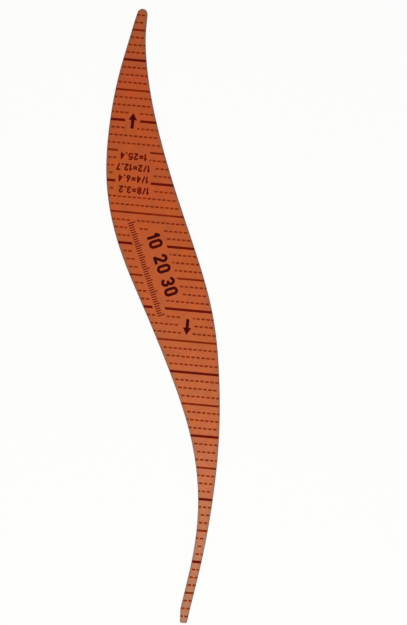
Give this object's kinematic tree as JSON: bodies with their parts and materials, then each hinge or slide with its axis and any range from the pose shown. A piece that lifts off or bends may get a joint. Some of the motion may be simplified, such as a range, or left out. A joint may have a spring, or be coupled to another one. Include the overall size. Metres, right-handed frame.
{
  "type": "sleeve curve",
  "caption": "Flat S-shaped drawing curve for sleeve and armhole lines, with a rounded nose, a slim square tail and inch graduations printed across the blade.",
  "frame": {"origin": "on the underside, below the middle of the blade's bounding box", "axes": "+Y along the blade to its rounded nose, +X to the right with the print up, +Z out of the printed face"},
  "size_m": [0.057, 0.25, 0.002],
  "materials": {
    "blade": "polished, faintly rubbed",
    "ink": "screen-printed film"
  },
  "bodies": {
    "root": {"blade": "blade", "eighth_rows_1": "ink", "eighth_rows_10": "ink", "eighth_rows_11": "ink", "eighth_rows_12": "ink", "eighth_rows_13": "ink", "eighth_rows_14": "ink", "eighth_rows_15": "ink", "eighth_rows_16": "ink", "eighth_rows_17": "ink", "eighth_rows_18": "ink", "eighth_rows_19": "ink", "eighth_rows_2": "ink", "eighth_rows_20": "ink", "eighth_rows_3": "ink", "eighth_rows_4": "ink", "eighth_rows_5": "ink", "eighth_rows_6": "ink", "eighth_rows_7": "ink", "eighth_rows_8": "ink", "eighth_rows_9": "ink", "half_inch_line_1": "ink", "half_inch_line_10": "ink", "half_inch_line_2": "ink", "half_inch_line_3": "ink", "half_inch_line_4": "ink", "half_inch_line_5": "ink", "half_inch_line_6": "ink", "half_inch_line_7": "ink", "half_inch_line_8": "ink", "half_inch_line_9": "ink", "inch_line_1": "ink", "inch_line_2": "ink", "inch_line_3": "ink", "inch_line_4": "ink", "inch_line_5": "ink", "inch_line_6": "ink", "inch_line_7": "ink", "inch_line_8": "ink", "inch_line_9": "ink", "key_row_1": "ink", "key_row_2": "ink", "key_row_3": "ink", "key_row_4": "ink", "nose_arrow": "ink", "scale_figures": "ink", "scale_ticks": "ink", "tail_arrow": "ink"}
  },
  "joints": []
}
